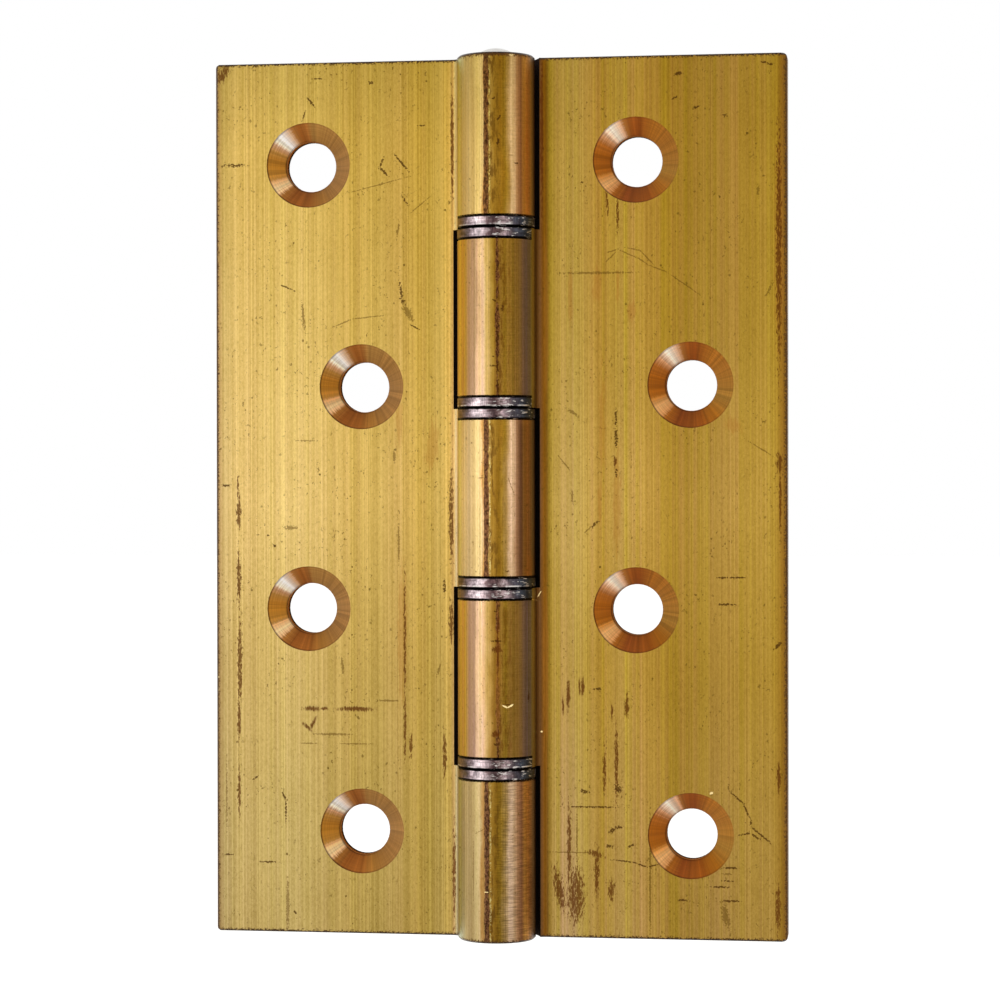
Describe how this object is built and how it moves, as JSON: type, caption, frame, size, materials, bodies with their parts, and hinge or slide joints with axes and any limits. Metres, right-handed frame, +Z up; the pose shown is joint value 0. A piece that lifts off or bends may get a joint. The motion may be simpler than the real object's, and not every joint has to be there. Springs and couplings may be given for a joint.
{
  "type": "washered butt hinge",
  "caption": "Open brass butt hinge with flat leaves, staggered countersunk screw holes, and interleaved knuckles with dark steel washers between them on a plain pin.",
  "frame": {"origin": "on the pin's axis, at the barrel's lower end face", "axes": "+Z up along the pin's axis, the longest extent; +Y towards the surfaces that the leaves are screwed to, the shortest extent, so the countersunk faces look to -Y; +X towards the leaf with two knuckles"},
  "size_m": [0.067, 0.009, 0.103],
  "materials": {
    "brass_light": "drawn and lightly brushed along the barrel, unlacquered",
    "brass_dark": "drawn and lightly brushed along the barrel, unlacquered, duller",
    "pin_steel": "plain turned steel",
    "washer_steel": "dark, dull steel"
  },
  "bodies": {
    "fixed_leaf": {"three_knuckle_leaf": "brass_light", "hinge_pin": "pin_steel", "washer_gap1_upper": "washer_steel", "washer_gap2_lower": "washer_steel", "washer_gap3_upper": "washer_steel", "washer_gap4_lower": "washer_steel"},
    "swinging_leaf": {"two_knuckle_leaf": "brass_dark", "washer_gap1_lower": "washer_steel", "washer_gap2_upper": "washer_steel", "washer_gap3_lower": "washer_steel", "washer_gap4_upper": "washer_steel"}
  },
  "joints": [
    {"name": "pin_hinge", "type": "hinge", "parent": "fixed_leaf", "child": "swinging_leaf", "pos_m": [0, 0, 0], "axis": [0, 0, 1], "range_deg": [-180, 72]}
  ]
}
